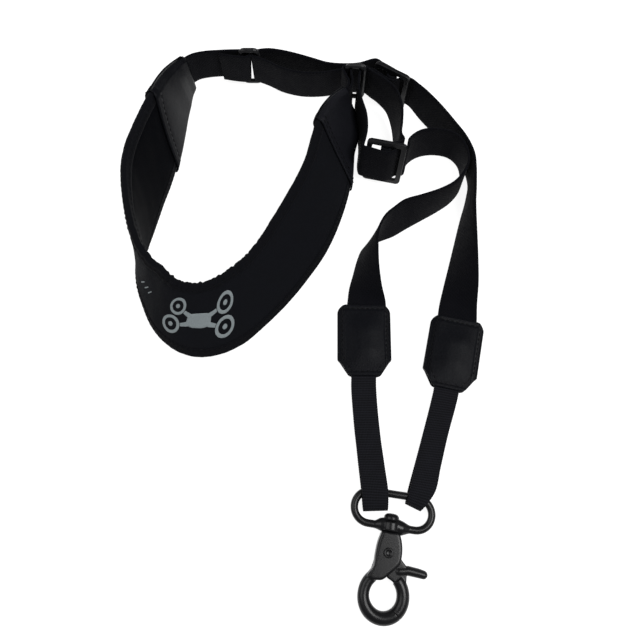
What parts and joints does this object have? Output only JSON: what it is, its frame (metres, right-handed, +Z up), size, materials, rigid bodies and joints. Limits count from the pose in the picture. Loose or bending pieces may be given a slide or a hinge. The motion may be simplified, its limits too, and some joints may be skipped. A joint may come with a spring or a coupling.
{
  "type": "neck strap",
  "caption": "Padded black neck strap with adjustable webbing straps, leather-look patches and a swivel trigger snap hook, laid out flat, for carrying a handheld radio controller.",
  "frame": {"origin": "centre of the whole strap's box, at the table it lies on", "axes": "+Z up from the table; +Y from the hook to the rings at the pad's ends; +X from the left-hand end of the pad to the right-hand one"},
  "size_m": [0.2218, 0.3579, 0.0517],
  "materials": {
    "pad_cloth": "matt knitted cloth bonded to foam",
    "foam": "matt closed-cell foam",
    "binding_tape": "matt woven tape",
    "leather": "satin grained leather-look sheet",
    "webbing": "matt woven nylon",
    "ribbed_webbing": "matt nylon woven with cross ribs",
    "plastic": "moulded, half gloss",
    "black_metal": "satin black coating on die-cast zinc",
    "spring_steel": "bare spring wire"
  },
  "bodies": {
    "root": {"pad_core": "foam", "pad_face": "pad_cloth", "pad_lining": "pad_cloth", "outer_binding": "binding_tape", "inner_binding": "binding_tape", "left_cap_outer": "leather", "left_cap_inner": "leather", "left_patch_front": "leather", "left_patch_back": "leather", "left_tab": "webbing", "left_strap": "webbing", "left_loop": "ribbed_webbing", "left_ring": "plastic", "left_slider": "plastic", "right_cap_outer": "leather", "right_cap_inner": "leather", "right_patch_front": "leather", "right_patch_back": "leather", "right_tab": "webbing", "right_strap": "webbing", "right_loop": "ribbed_webbing", "right_ring": "plastic", "right_slider": "plastic"},
    "ring": {"swivel_ring": "black_metal"},
    "hook": {"hook_body": "black_metal", "swivel_pin": "black_metal", "gate_rivet": "black_metal", "gate_spring": "spring_steel"},
    "gate": {"hook_gate": "black_metal"}
  },
  "joints": [
    {"name": "ring_swing", "type": "hinge", "parent": "root", "child": "ring", "pos_m": [0.05146, -0.1111, 0.00512], "axis": [0.9888, -0.1495, 0], "range_deg": [-9, 28]},
    {"name": "hook_swivel", "type": "hinge", "parent": "ring", "child": "hook", "pos_m": [0.04644, -0.14433, 0.00512], "axis": [0.1495, 0.9888, 0], "continuous": true},
    {"name": "gate_open", "type": "hinge", "parent": "hook", "child": "gate", "pos_m": [0.0468, -0.14195, 0.00512], "axis": [0, 0, 1], "range_deg": [0, 25], "stiffness_Nm_per_rad": 0.1, "springref_deg": -17.19, "deforming": ["gate_spring"]}
  ]
}
